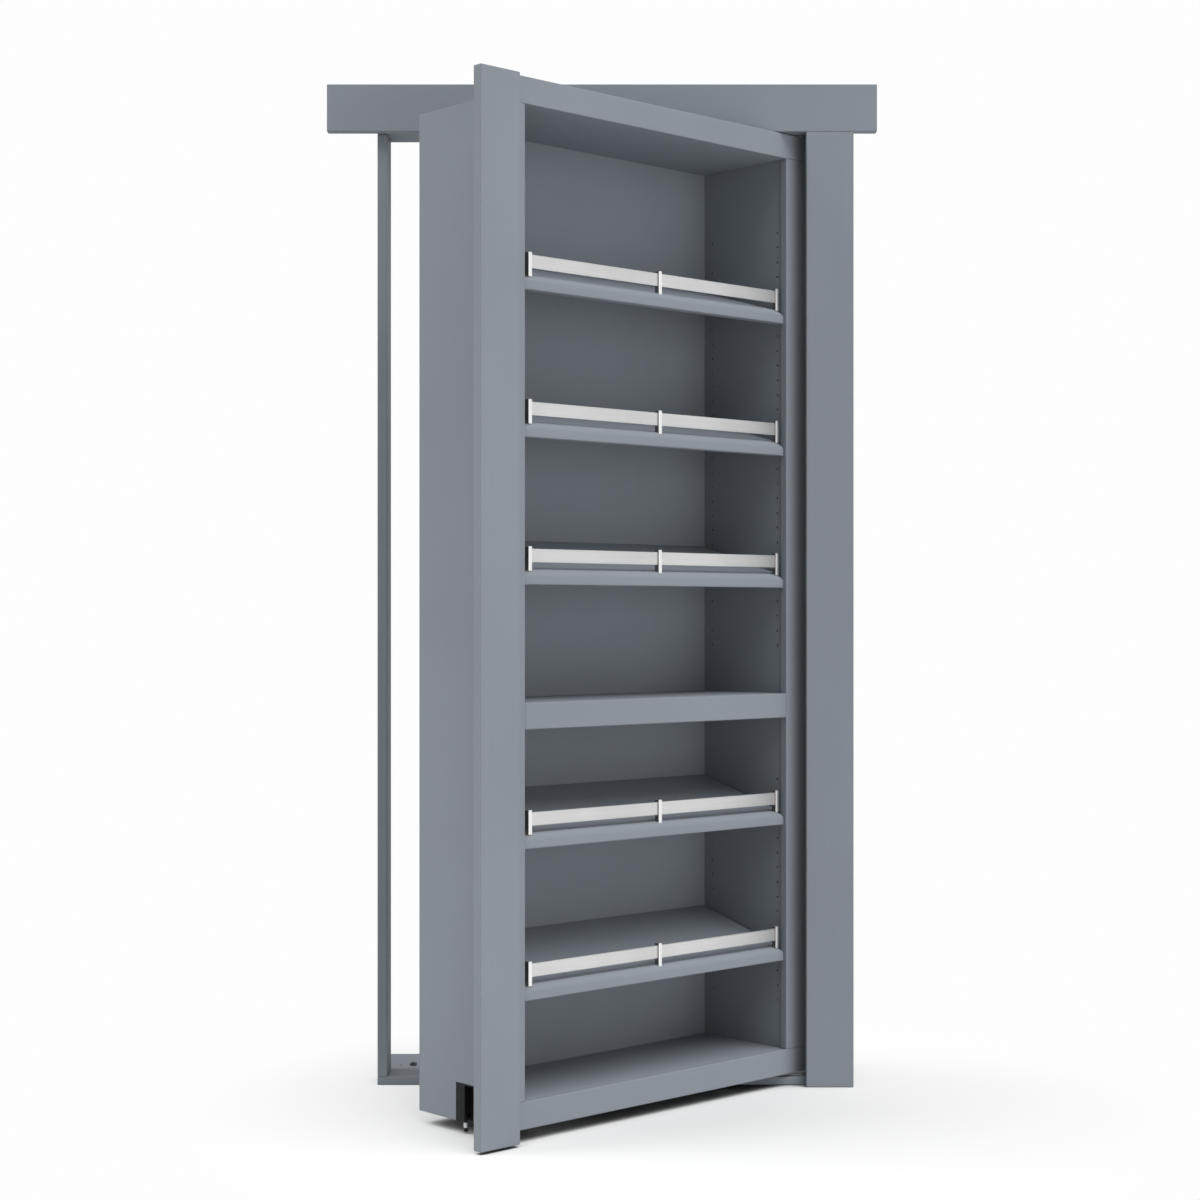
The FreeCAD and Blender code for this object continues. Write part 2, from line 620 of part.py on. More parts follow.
def pivot_plate(name, bottom, head_z):
    # steel plate with cut corners, a hole for the pin and four seats for the screws
    body = doc.addObject("PartDesign::Body", name)
    stand(body, pivot_x, pivot_y, bottom)
    sketch = new_sketch(body, "XY_Plane", name + "_outline")
    draw_outline(sketch, rectangle("0 - plate_length / 2", "plate_length / 2",
                                   "0 - plate_width / 2", "plate_width / 2"))
    pad = feature(body, "Pad", sketch, name + "_slab", "plate_thickness")
    doc.recompute()
    upright = [f"Edge{i + 1}" for i, edge in enumerate(pad.Shape.Edges) if abs(edge.tangentAt(0).z) > 0.99]
    corners = body.newObject("PartDesign::Chamfer", name + "_corners")
    corners.Base = (pad, upright)
    bind(corners, Size="plate_corner")
    holes = new_sketch(body, "XY_Plane", name + "_holes")
    draw_circle(holes, "0", "0", "pivot_radius + press_play")
    for x, y in screw_spots:
        draw_outline(holes, polygon(x, y, shank_hole))
    feature(body, "Pocket", holes, name + "_bores", "plate_thickness", True)
    seats = new_sketch(body, "XY_Plane", name + "_seats")
    seats.setExpression("AttachmentOffset.Base.z", formula(head_z))
    for x, y in screw_spots:
        draw_outline(seats, polygon(x, y, "screw_head_radius + screw_play"))
    feature(body, "Pocket", seats, name + "_head_seats", "screw_head_height", True)
    return body


def plate_screw(name, x, y, head, shank):
    # a low head sunk in the plate and a plain shank into the wood
    screw = doc.addObject("Part::MultiFuse", name)
    screw.Shapes = [hexagonal(stand, name + "_head", f"{pivot_x} + {x}", f"{pivot_y} + {y}", *head,
                              "screw_head_radius"),
                    hexagonal(stand, name + "_shank", f"{pivot_x} + {x}", f"{pivot_y} + {y}", *shank,
                              "screw_radius")]
    return screw


plates = [pivot_plate("lower_plate", "threshold_thickness", "plate_thickness - screw_head_height"),
          pivot_plate("upper_plate", header_z, "0")]
keep(joined("pivot_plates", plates), "pivot_plates")
lower_head = (f"{plate_top} - screw_head_height", plate_top)
upper_head = (header_z, f"{header_z} + screw_head_height")
screws = []
for spot, (spot_x, spot_y) in enumerate(screw_spots):
    screws.append(plate_screw(f"lower_screw_{spot}", spot_x, spot_y, lower_head, (screw_end, plate_top)))
    screws.append(plate_screw(f"upper_screw_{spot}", spot_x, spot_y, upper_head, (header_z, screw_tip)))
keep(joined("plate_screws", screws), "plate_screws")
pins = [cylinder(stand, "lower_pin", pivot_x, pivot_y, "threshold_thickness", f"{deck_under} - pivot_end_gap",
                 "pivot_radius"),
        cylinder(stand, "upper_pin", pivot_x, pivot_y, f"{box_top} + pivot_end_gap",
                 f"{header_z} + plate_thickness", "pivot_radius")]
keep(joined("pivot_pins", pins), "pivot_pins")


def ring(name, place, x, y, corners):
    body = doc.addObject("PartDesign::Body", name)
    place(body, x, y, "0")
    turned(body, name, corners)
    return body


def tube(label, place, x, y, low, high, inside, outside, sides):
    # a straight ring with flat sides
    body = new_body(label)
    place(body, x, y, low)
    sketch = new_sketch(body, "XY_Plane", label + "_outline")
    for radius in (inside, outside):
        draw_outline(sketch, polygon("0", "0", radius, sides))
    feature(body, "Pad", sketch, label + "_wall", f"({high}) - ({low})")


tube("thrust_washer", stand, pivot_x, pivot_y, plate_top, f"({plate_top} + washer_thickness)",
     "(washer_bore / cos(11.25))", "flange_radius", 16)
lower_flange = f"({block_bottom} - flange_thickness)"
upper_flange = f"({top_block_top} + flange_thickness)"
bushes = [ring("lower_bush", hang, "0", "0",
               [(bush_radius, lower_flange), ("flange_radius", lower_flange), ("flange_radius", block_bottom),
                (bush_outside, block_bottom), (bush_outside, deck_under), (bush_radius, deck_under)]),
          ring("upper_bush", hang, "0", "0",
               [(bush_radius, box_top), (bush_outside, box_top), (bush_outside, top_block_top),
                ("flange_radius", top_block_top), ("flange_radius", upper_flange),
                (bush_radius, upper_flange)])]
keep(joined("pivot_bushes", bushes), "pivot_bushes")


def pivot_block(label, low, high):
    # hardwood block on the end of the cabinet, bored for a bush
    blank = box(hang, label + "_blank", ("0 - block_inward", right_outside),
                (inner_y, f"{inner_y} + block_depth"), (low, high))
    bore = cylinder(hang, label + "_bore", "0", "0", low, high, f"{bush_outside} + press_play")
    keep(cut(label, eased(blank, label + "_eased"), [bore]), label)


pivot_block("lower_pivot_block", block_bottom, deck_under)
pivot_block("upper_pivot_block", box_top, top_block_top)


def latch_housing():
    # block in the notch of the outer side: an open pocket in front, the plunger and its spring behind it
    label = "latch_housing"
    body = new_body(label)
    hang(body, plunger_x, plunger_y, door_bottom)
    outer = "(0 - plunger_inset)"
    inner = "(board_thickness - plunger_inset)"
    front = "(latch_front - plunger_setback)"
    block = new_sketch(body, "XY_Plane", "housing_outline")
    draw_outline(block, rectangle(outer, inner, front, f"{front} + latch_width"))
    feature(body, "Pad", block, "housing_block", "latch_height")
    pocket = new_sketch(body, "XY_Plane", "pocket_outline")
    draw_outline(pocket, rectangle(f"{outer} - latch_wall", f"{inner} - latch_wall", f"{front} + latch_wall",
                                   "0 - guide_front"))
    feature(body, "Pocket", pocket, "housing_pocket", "latch_height - latch_wall", True)
    under = new_sketch(body, "XY_Plane", "nut_room_outline")
    draw_outline(under, rectangle("0 - nut_room", "nut_room", "0 - guide_front - latch_wall", "nut_room"))
    feature(body, "Pocket", under, "nut_clearance", "guide_lift", True)
    bore = "(rod_radius + rod_play)"
    floor_z = "(guide_lift + guide_floor)"
    ceiling = f"({floor_z} + chamber_height)"
    turned(body, "chamber", [("0", "guide_lift"), (bore, "guide_lift"), (bore, floor_z),
                             ("chamber_radius", floor_z), ("chamber_radius", ceiling), ("0", ceiling)],
           "Groove")


latch_housing()

# Plunger of the latch: rod with its collar, nut and soft tip, and the spring that pushes it down
tip_top = "(tip_floor_gap + tip_height)"
collar_z = f"({chamber_z} + collar_seat)"
collar_top = f"({collar_z} + collar_thickness)"
rod_top = f"({chamber_top} - rod_top_gap)"
spring_z = (f"({collar_top} + spring_seat)", f"({chamber_top} - spring_seat)")
rod = ring("plunger_rod", hang, plunger_x, plunger_y,
           [("0", tip_top), ("rod_radius", tip_top), ("rod_radius", collar_z), ("collar_radius", collar_z),
            ("collar_radius", collar_top), ("rod_radius", collar_top), ("rod_radius", rod_top),
            ("0", rod_top)])
keep(rod, "plunger_rod")
tube("latch_spring", hang, plunger_x, plunger_y, *spring_z, "spring_inside", "spring_outside", 12)


def plunger_tip():
    # soft tip with a bevelled end
    label = "plunger_tip"
    blank = doc.addObject("Part::Prism", label + "_blank")
    blank.Polygon = 16
    bind(blank, Circumradius="tip_radius", Height="tip_height")
    hang(blank, plunger_x, plunger_y, "tip_floor_gap")
    doc.recompute()
    bottom = [i + 1 for i, edge in enumerate(blank.Shape.Edges)
              if max(vertex.Z for vertex in edge.Vertexes) < number("tip_floor_gap + tip_height / 2")]
    soft = doc.addObject("Part::Chamfer", label)
    soft.Base = blank
    soft.Edges = [(i, number("tip_bevel"), number("tip_bevel")) for i in bottom]
    keep(soft, label)


plunger_tip()


def plunger_nut():
    label = "plunger_nut"
    body = new_body(label)
    hang(body, plunger_x, plunger_y, tip_top)
    sketch = new_sketch(body, "XY_Plane", "nut_outline")
    corner = "(nut_across_flats / 2 / cos(30))"
    draw_outline(sketch, polygon("0", "0", corner))
    draw_outline(sketch, polygon("0", "0", "(rod_radius + press_play) / cos(15)", 12))
    feature(body, "Pad", sketch, "nut_hexagon", "nut_height")


plunger_nut()

doc.recompute()
for thing in doc.Objects:
    if "Invalid" in thing.State or "Error" in thing.State:
        raise RuntimeError(f"{thing.Label} failed: {thing.State}")
os.makedirs("parts", exist_ok=True)
for thing in kept:
    shape = thing.Shape
    if shape.isNull() or not shape.isValid() or not shape.Solids:
        raise RuntimeError(f"{thing.Label} has no sound shape")
    shape.exportStep(f"parts/{thing.Label}.step")
print(len(kept), "pieces,", sum(len(thing.Shape.Solids) for thing in kept), "solids")
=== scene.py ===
import math
import bpy
import numpy as np
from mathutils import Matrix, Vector


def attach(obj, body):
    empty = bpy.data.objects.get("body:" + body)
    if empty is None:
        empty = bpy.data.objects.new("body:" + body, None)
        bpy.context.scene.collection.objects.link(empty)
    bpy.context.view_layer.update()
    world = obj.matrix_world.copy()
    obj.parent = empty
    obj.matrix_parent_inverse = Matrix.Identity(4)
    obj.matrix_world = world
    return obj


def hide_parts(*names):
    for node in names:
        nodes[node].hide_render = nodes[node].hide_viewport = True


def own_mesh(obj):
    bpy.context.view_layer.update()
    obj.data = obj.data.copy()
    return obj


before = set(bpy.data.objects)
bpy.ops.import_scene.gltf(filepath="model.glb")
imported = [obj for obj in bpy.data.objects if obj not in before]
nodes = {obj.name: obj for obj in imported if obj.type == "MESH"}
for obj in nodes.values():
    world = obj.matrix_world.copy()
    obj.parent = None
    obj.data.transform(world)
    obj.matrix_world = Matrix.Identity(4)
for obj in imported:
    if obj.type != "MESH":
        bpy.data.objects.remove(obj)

# Shoe rack door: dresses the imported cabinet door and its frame, in metres
scene = bpy.context.scene
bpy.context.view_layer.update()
doorTurn = math.radians(42.8)                       # the door stands open by this much at rest
doorPivot = np.array([0.384, -0.083])               # the upright axis that it turns about
print("frame loaded:", len(nodes), "nodes")


# Shader nodes: a value that is a socket gets a link, any other value is set on the input itself
def setInputs(tree, node, inputs):
    for name, value in inputs.items():
        if isinstance(value, bpy.types.NodeSocket):
            tree.links.new(value, node.inputs[name])
        else:
            node.inputs[name].default_value = value


def addNode(tree, kind, inputs=None, **settings):
    made = tree.nodes.new(kind)
    for name, value in settings.items():
        setattr(made, name, value)
    setInputs(tree, made, inputs or {})
    return made


def arithmetic(tree, operation, first, second):
    return addNode(tree, "ShaderNodeMath", {0: first, 1: second}, operation=operation).outputs[0]


def weightedSum(tree, first, firstShare, second, secondShare):
    return arithmetic(tree, "ADD", arithmetic(tree, "MULTIPLY", first, firstShare),
                      arithmetic(tree, "MULTIPLY", second, secondShare))


def mixColours(tree, factor, first, second):
    return addNode(tree, "ShaderNodeMix", {0: factor, 6: first, 7: second}, data_type="RGBA").outputs[2]


def span(tree, value, low, high, outLow, outHigh):
    ranged = addNode(tree, "ShaderNodeMapRange", {"Value": value, "From Min": low, "From Max": high,
                                                  "To Min": outLow, "To Max": outHigh})
    return ranged.outputs["Result"]


def noise(tree, vector, scale, detail, roughness=0.5):
    cloud = addNode(tree, "ShaderNodeTexNoise", {"Vector": vector, "Scale": scale, "Detail": detail,
                                                 "Roughness": roughness})
    return cloud.outputs["Fac"]


def objectPlace(tree):
    return addNode(tree, "ShaderNodeTexCoord").outputs["Object"]


def newGroup(name, inputs, outputs):
    group = bpy.data.node_groups.new(name, "ShaderNodeTree")
    for label, kind, value in inputs:
        group.interface.new_socket(name=label, in_out="INPUT", socket_type=kind).default_value = value
    for label, kind in outputs:
        group.interface.new_socket(name=label, in_out="OUTPUT", socket_type=kind)
    return group, addNode(group, "NodeGroupInput"), addNode(group, "NodeGroupOutput")


# Object coordinates, turned about the upright axis and then stretched
def stretchedPlace(group, enter):
    turned = addNode(group, "ShaderNodeVectorRotate",
                     {"Vector": objectPlace(group), "Angle": enter.outputs["Turn"]}, rotation_type="Z_AXIS")
    along = addNode(group, "ShaderNodeVectorMath",
                    {0: turned.outputs["Vector"], 1: enter.outputs["Stretch"]}, operation="MULTIPLY")
    return along.outputs["Vector"]


# Worn and highlighted edge: the rounded normal leaves the flat one only near an edge, where their product falls;
# the mask lightens edges, partly as wear and partly as a painted highlight
edgeWearAndHighlight = {"samples": 4, "flatAt": 0.995, "edgeFullAt": 0.86, "detail": 3.0, "patches": (0.35, 0.62), "least": 0.25}


def buildWearAndHighlightEdge():
    group, enter, leave = newGroup("wearAndHighlightEdge",
                                   [("Reach", "NodeSocketFloat", 0.002), ("Patchiness", "NodeSocketFloat", 40.0)],
                                   [("Mask", "NodeSocketFloat"), ("Normal", "NodeSocketVector")])
    rounded = addNode(group, "ShaderNodeBevel", {"Radius": enter.outputs["Reach"]}, samples=edgeWearAndHighlight["samples"])
    flat = addNode(group, "ShaderNodeNewGeometry")
    product = addNode(group, "ShaderNodeVectorMath",
                      {0: rounded.outputs["Normal"], 1: flat.outputs["Normal"]}, operation="DOT_PRODUCT")
    edge = span(group, product.outputs["Value"], edgeWearAndHighlight["flatAt"], edgeWearAndHighlight["edgeFullAt"], 0.0, 1.0)
    patches = noise(group, objectPlace(group), enter.outputs["Patchiness"], edgeWearAndHighlight["detail"])
    kept = span(group, patches, *edgeWearAndHighlight["patches"], edgeWearAndHighlight["least"], 1.0)
    setInputs(group, leave, {"Mask": arithmetic(group, "MULTIPLY", edge, kept),
                             "Normal": rounded.outputs["Normal"]})
    return group


# Paint film: a broad drift of tone, streaks along the board and a fine peel, all on Object coordinates
filmLook = {
    "streaks": (1.0, 4.0, 0.62), "drift": (3.2, 2.0), "peel": (620.0, 1.5),     # scale, detail, roughness
    "band": (0.3, 0.7),                             # the part of a noise's range that counts
    "driftTone": 0.035, "streakTone": 0.012,        # how far each moves the tone, up and down
    "sheen": (0.54, 0.60), "streakSheen": 0.05,     # roughness, and how far the streaks move it
    "edgeShare": 0.2, "peelShare": 0.8, "streakShare": 0.2,
}


def buildPaintFilm():
    group, enter, leave = newGroup("paintFilm",
                                   [("Colour", "NodeSocketColor", (0.2, 0.2, 0.2, 1)),
                                    ("Worn And Lit Colour", "NodeSocketColor", (0.4, 0.4, 0.4, 1)),
                                    ("Edge", "NodeSocketFloat", 0.0),
                                    ("Turn", "NodeSocketFloat", 0.0),
                                    ("Stretch", "NodeSocketVector", (1, 1, 1))],
                                   [("Colour", "NodeSocketColor"), ("Roughness", "NodeSocketFloat"),
                                    ("Height", "NodeSocketFloat")])
    place = objectPlace(group)
    streaks = noise(group, stretchedPlace(group, enter), *filmLook["streaks"])
    drift = noise(group, place, *filmLook["drift"])
    peel = noise(group, place, *filmLook["peel"])

    def swing(value, amount):
        return span(group, value, *filmLook["band"], -amount, amount)

    tone = arithmetic(group, "ADD", swing(drift, filmLook["driftTone"]), swing(streaks, filmLook["streakTone"]))
    toned = addNode(group, "ShaderNodeHueSaturation",
                    {"Color": enter.outputs["Colour"], "Value": arithmetic(group, "ADD", tone, 1.0)})
    # near an edge the colour turns to the lighter worn colour, partly as edge wear and partly as a painted
    # highlight
    wornAndLit = arithmetic(group, "MULTIPLY", enter.outputs["Edge"], filmLook["edgeShare"])
    sheen = arithmetic(group, "ADD", swing(streaks, filmLook["streakSheen"]),
                       span(group, drift, *filmLook["band"], *filmLook["sheen"]))
    height = weightedSum(group, peel, filmLook["peelShare"], streaks, filmLook["streakShare"])
    setInputs(group, leave, {
        "Colour": mixColours(group, wornAndLit, toned.outputs["Color"], enter.outputs["Worn And Lit Colour"]),
        "Roughness": sheen, "Height": height})
    return group


# Brushed lines: noise drawn out along one direction, once coarse and once fine
brushLook = {"coarse": (0.35, 2.0), "fine": (1.4, 3.0, 0.7), "cloud": (9.0, 3.0),    # scale, detail, roughness
             "coarseShare": 0.4, "fineShare": 0.6}


def buildBrushedLines():
    group, enter, leave = newGroup("brushedLines",
                                   [("Turn", "NodeSocketFloat", 0.0), ("Stretch", "NodeSocketVector", (1, 1, 1))],
                                   [("Lines", "NodeSocketFloat"), ("Cloud", "NodeSocketFloat")])
    along = stretchedPlace(group, enter)
    coarse = noise(group, along, *brushLook["coarse"])
    fine = noise(group, along, *brushLook["fine"])
    setInputs(group, leave, {
        "Lines": weightedSum(group, coarse, brushLook["coarseShare"], fine, brushLook["fineShare"]),
        "Cloud": noise(group, objectPlace(group), *brushLook["cloud"])})
    return group


wearAndHighlightEdge = buildWearAndHighlightEdge()
paintFilm = buildPaintFilm()
brushedLines = buildBrushedLines()


def newMaterial(name):
    made = bpy.data.materials.new(name)
    made.use_nodes = True
    return made, made.node_tree, made.node_tree.nodes["Principled BSDF"]


def placeGroup(tree, group, inputs):
    return addNode(tree, "ShaderNodeGroup", inputs, node_tree=group)


def bumpedNormal(tree, height, strength, distance, normal):
    bump = addNode(tree, "ShaderNodeBump",
                   {"Height": height, "Strength": strength, "Distance": distance, "Normal": normal})
    return bump.outputs["Normal"]


# Blue-grey paint with a low sheen, streaked along each board
paintLook = {
    "colour": (0.247, 0.273, 0.303, 1),
    # lighter colour along the edges: edge wear and a painted highlight
    "wornAndLit": (0.42, 0.45, 0.48, 1),
    "edgeReach": 0.0022,
    "specular": 0.06,
    "peelStrength": 0.12,
    "peelDistance": 0.00025,
    "upright": (210, 210, 5),                       # streaks run up the board
    "level": (5, 210, 210),                         # streaks run across the doorway or the door
}


def paintMaterial(name, stretch, turn):
    made, tree, shader = newMaterial(name)
    edge = placeGroup(tree, wearAndHighlightEdge, {"Reach": paintLook["edgeReach"]})
    film = placeGroup(tree, paintFilm, {"Colour": paintLook["colour"], "Worn And Lit Colour": paintLook["wornAndLit"],
                                        "Edge": edge.outputs["Mask"], "Turn": turn, "Stretch": paintLook[stretch]})
    setInputs(tree, shader, {
        "Base Color": film.outputs["Colour"], "Roughness": film.outputs["Roughness"],
        "Specular IOR Level": paintLook["specular"],
        "Normal": bumpedNormal(tree, film.outputs["Height"], paintLook["peelStrength"],
                               paintLook["peelDistance"], edge.outputs["Normal"])})
    return made


# Brushed and plated metals
metalWear = {"patchiness": 90.0, "band": (0.35, 0.65), "lineShare": 0.6, "cloudShare": 0.4}
# Each look's edge colour is lighter than its body: a painted highlight along the edges, and edge wear
fenceLook = {"colour": (0.78, 0.779, 0.777, 1), "dull": (0.70, 0.699, 0.697, 1), "edge": (0.98, 0.98, 0.98, 1),
             "reach": 0.0028, "stretch": (6, 1500, 1500), "roughness": (0.48, 0.60), "bump": 0.06,
             "distance": 0.00008}
# The post's side colour is painted shade on the faces that look along the door
postLook = {"colour": (0.95, 0.95, 0.945, 1), "dull": (0.88, 0.88, 0.875, 1), "edge": (0.97, 0.97, 0.965, 1),
            "side": (0.30, 0.275, 0.26, 1), "sideBand": (0.90, 0.99), "reach": 0.0012, "stretch": (1500, 1500, 40),
            "roughness": (0.32, 0.44), "bump": 0.06, "distance": 0.00006}
zincLook = {"colour": (0.66, 0.67, 0.69, 1), "dull": (0.50, 0.51, 0.54, 1), "edge": (0.80, 0.80, 0.81, 1),
            "reach": 0.0012, "stretch": (700, 700, 700), "roughness": (0.26, 0.44), "bump": 0.08,
            "distance": 0.00008}
plateLook = {"colour": (0.20, 0.205, 0.215, 1), "dull": (0.13, 0.133, 0.14, 1), "edge": (0.36, 0.365, 0.375, 1),
             "reach": 0.0012, "stretch": (700, 700, 700), "roughness": (0.32, 0.48), "bump": 0.08,
             "distance": 0.00008}
oxideLook = {"colour": (0.055, 0.056, 0.058, 1), "dull": (0.035, 0.035, 0.036, 1),
             "edge": (0.16, 0.16, 0.165, 1), "reach": 0.0008, "stretch": (500, 500, 500),
             "roughness": (0.34, 0.5), "bump": 0.08, "distance": 0.00008}
bronzeLook = {"colour": (0.62, 0.45, 0.24, 1), "dull": (0.44, 0.30, 0.15, 1), "edge": (0.74, 0.57, 0.34, 1),
              "reach": 0.0012, "stretch": (300, 300, 2600), "roughness": (0.28, 0.42), "bump": 0.08,
              "distance": 0.00008}


def metalMaterial(name, look, turn=0.0):
    made, tree, shader = newMaterial(name)
    brushed = placeGroup(tree, brushedLines, {"Turn": turn, "Stretch": look["stretch"]})
    edge = placeGroup(tree, wearAndHighlightEdge, {"Reach": look["reach"], "Patchiness": metalWear["patchiness"]})
    lines, cloud = brushed.outputs["Lines"], brushed.outputs["Cloud"]
    tarnish = arithmetic(tree, "ADD", span(tree, lines, *metalWear["band"], 0.0, metalWear["lineShare"]),
                         span(tree, cloud, *metalWear["band"], 0.0, metalWear["cloudShare"]))
    body = mixColours(tree, tarnish, look["colour"], look["dull"])
    if "side" in look:
        # faces that look along the door get a darker colour, as painted shade on the sides of the posts
        normal = addNode(tree, "ShaderNodeTexCoord").outputs["Normal"]
        alongDoor = (math.cos(doorTurn), math.sin(doorTurn), 0.0)
        facing = addNode(tree, "ShaderNodeVectorMath", {0: normal, 1: alongDoor}, operation="DOT_PRODUCT")
        sideways = addNode(tree, "ShaderNodeMath", {0: facing.outputs["Value"]}, operation="ABSOLUTE").outputs[0]
        body = mixColours(tree, span(tree, sideways, *look["sideBand"], 0.0, 1.0), body, look["side"])
    setInputs(tree, shader, {
        # edges turn to the lighter edge colour, as a painted highlight and as wear
        "Base Color": mixColours(tree, edge.outputs["Mask"], body, look["edge"]), "Metallic": 1.0,
        "Roughness": span(tree, lines, *metalWear["band"], *look["roughness"]),
        "Normal": bumpedNormal(tree, lines, look["bump"], look["distance"], edge.outputs["Normal"])})
    return made


# Matt black moulding of the latch and its tip
mouldingLook = {
    "colour": (0.014, 0.0145, 0.015, 1), "rubbed": (0.05, 0.052, 0.054, 1), "specular": 0.15,
    "grain": (900.0, 2.0), "grainBand": (0.3, 0.7), "roughness": (0.46, 0.62), "bump": 0.18, "distance": 0.0002,
    "cloud": (60.0, 3.0), "cloudBand": (0.4, 0.7), "cloudWear": 0.12, "reach": 0.0015, "patchiness": 120.0,
}


def mouldingMaterial(name, look):
    made, tree, shader = newMaterial(name)
    place = objectPlace(tree)
    grain = noise(tree, place, *look["grain"])
    cloud = noise(tree, place, *look["cloud"])
    edge = placeGroup(tree, wearAndHighlightEdge, {"Reach": look["reach"], "Patchiness": look["patchiness"]})
    wear = arithmetic(tree, "ADD", edge.outputs["Mask"],
                      span(tree, cloud, *look["cloudBand"], 0.0, look["cloudWear"]))
    setInputs(tree, shader, {
        "Base Color": mixColours(tree, wear, look["colour"], look["rubbed"]),
        "Roughness": span(tree, grain, *look["grainBand"], *look["roughness"]),
        "Specular IOR Level": look["specular"],
        "Normal": bumpedNormal(tree, grain, look["bump"], look["distance"], edge.outputs["Normal"])})
    return made


uprightPaint = paintMaterial("uprightPaint", "upright", 0.0)
frameLevelPaint = paintMaterial("frameLevelPaint", "level", 0.0)
doorLevelPaint = paintMaterial("doorLevelPaint", "level", -doorTurn)
fenceSteel = metalMaterial("fenceSteel", fenceLook, -doorTurn)
postSteel = metalMaterial("postSteel", postLook, -doorTurn)
zincSteel = metalMaterial("zincSteel", zincLook)
plateSteel = metalMaterial("plateSteel", plateLook)
blackOxide = metalMaterial("blackOxide", oxideLook)
bearingBronze = metalMaterial("bearingBronze", bronzeLook)
blackMoulding = mouldingMaterial("blackMoulding", mouldingLook)

# Upright boards and what isn't named here are painted with upright streaks
finishes = {
    "header_casing": frameLevelPaint, "header_jamb": frameLevelPaint, "threshold": frameLevelPaint,
    "top_rail": doorLevelPaint, "bottom_rail": doorLevelPaint, "middle_rail": doorLevelPaint,
    "middle_shelf": doorLevelPaint, "cabinet_top": doorLevelPaint, "cabinet_deck": doorLevelPaint,
    "lower_pivot_block": doorLevelPaint, "upper_pivot_block": doorLevelPaint,
    "pivot_plates": plateSteel, "plate_screws": zincSteel, "pivot_pins": zincSteel, "shelf_pins": zincSteel,
    "latch_spring": zincSteel, "plunger_rod": blackOxide, "plunger_nut": zincSteel,
    "thrust_washer": bearingBronze, "pivot_bushes": bearingBronze,
    "latch_housing": blackMoulding, "plunger_tip": blackMoulding,
    "shoe_shelf": doorLevelPaint, "fence_rails": fenceSteel, "fence_posts": postSteel,
}
for name, piece in nodes.items():
    piece.data.materials.clear()
    piece.data.materials.append(finishes.get(name.rstrip("_0123456789"), uprightPaint))
print("finishes given to", len(nodes), "nodes")


# Door coordinates, in metres from the pivot axis, are turned about it and set on the frame
def fromDoor(points):
    points = np.asarray(points, dtype=float)
    turn = np.array([[math.cos(doorTurn), math.sin(doorTurn)], [-math.sin(doorTurn), math.cos(doorTurn)]])
    return np.concatenate([points[..., :2] @ turn + doorPivot, points[..., 2:]], axis=-1)


# Rows of closed rings become quads between neighbours; at each end is one many-sided face,
# unless the last ring is joined to the first, as on a nut with a hole
def ringSurface(rings, joined=False):
    count, around = rings.shape[:2]
    index = np.arange(count * around).reshape(count, around)
    rows = np.concatenate([index, index[:1]]) if joined else index
    ahead = np.roll(rows, -1, axis=1)
    quads = np.stack([rows[:-1], ahead[:-1], ahead[1:], rows[1:]], axis=-1).reshape(-1, 4)
    caps = [] if joined else [index[0, ::-1], index[-1]]
    return rings.reshape(-1, 3), quads, caps


# Edges that turn by more than sharpFrom degrees stay sharp
def newPiece(name, surfaces, material, body, replaced, sharpFrom=32.0):
    points, faces, start = [], [], 0
    for vertices, quads, caps in surfaces:
        points.append(vertices)
        faces += (quads + start).tolist() + [(cap + start).tolist() for cap in caps]
        start += len(vertices)
    mesh = bpy.data.meshes.new(name)
    mesh.from_pydata(np.concatenate(points).tolist(), [], faces)
    mesh.shade_smooth()
    mesh.set_sharp_from_angle(angle=math.radians(sharpFrom))
    mesh.materials.append(material)
    piece = bpy.data.objects.new(name, mesh)
    scene.collection.objects.link(piece)
    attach(piece, body)
    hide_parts(replaced)
    return piece


# Bull-nosed shelves: the section is carried across the opening, and near each end the top of its nose falls
# and its front goes back, each along a quarter ellipse; both fade out where the panel begins
shelfLook = {
    "noses": (1.646, 1.366, 1.086, 0.584, 0.296),    # top of each nose above the floor
    "across": (-0.758, -0.028),
    "front": -0.037,
    "noseDepth": 0.022, "noseHeight": 0.030, "topRadius": 0.016, "underRadius": 0.002,
    "reach": 0.242, "slope": math.radians(16), "thickness": 0.018,
    "fallLength": 0.042, "fall": 0.014, "backLength": 0.020, "back": 0.006, "steps": 14,
}


def shelfSection(look):
    quarter = np.linspace(0, math.pi / 2, look["steps"])
    radius, under = look["topRadius"], look["underRadius"]
    rise = (look["reach"] - look["noseDepth"]) * math.tan(look["slope"])
    drop = look["thickness"] / math.cos(look["slope"])
    rounding = np.stack([radius - radius * np.cos(quarter), radius * np.sin(quarter) - radius], axis=-1)
    lower = np.stack([under - under * np.sin(quarter),
                      under - under * np.cos(quarter) - look["noseHeight"]], axis=-1)
    panel = np.array([[look["noseDepth"], 0], [look["reach"], rise], [look["reach"], rise - drop],
                      [look["noseDepth"], -drop], [look["noseDepth"], -look["noseHeight"]]])
    section = np.concatenate([rounding, panel, lower])
    # share of the fall and of the way back that each point takes
    falling, going = np.zeros(len(section)), np.zeros(len(section))
    falling[:len(quarter)] = np.sin(quarter)
    going[:len(quarter)] = np.cos(quarter)
    going[-len(quarter):] = np.sin(quarter)
    return section, falling, going


# Quarter ellipse: all of the depth at the end of the shelf, nothing from the given length on
def endEllipse(inward, length, depth):
    return depth * (1 - np.sqrt(1 - np.clip(1 - inward / length, 0, 1) ** 2))


